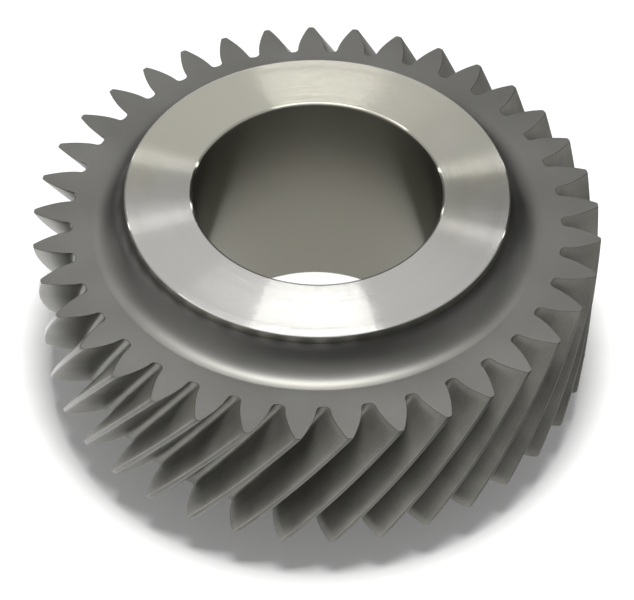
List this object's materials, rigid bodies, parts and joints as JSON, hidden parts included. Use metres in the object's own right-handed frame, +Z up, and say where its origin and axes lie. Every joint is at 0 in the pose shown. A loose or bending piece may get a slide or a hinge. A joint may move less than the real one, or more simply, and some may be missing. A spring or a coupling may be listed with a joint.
{
  "type": "helical transmission gear",
  "caption": "Steel helical gear with a large plain ground bore, raised turned hub faces and deep right-hand teeth, for a vehicle gearbox shaft.",
  "frame": {"origin": "on the bore's axis, in the plane of the lower hub face that the gear stands on", "axes": "+Z up along the bore's axis; +X through the middle of a tooth at the lower end of the rim"},
  "size_m": [0.1838, 0.1838, 0.083],
  "materials": {
    "gear_steel": "case-hardened and blasted satin grey, with ground bore and turned bright hub faces"
  },
  "bodies": {
    "root": {"helical_gear": "gear_steel"}
  },
  "joints": []
}
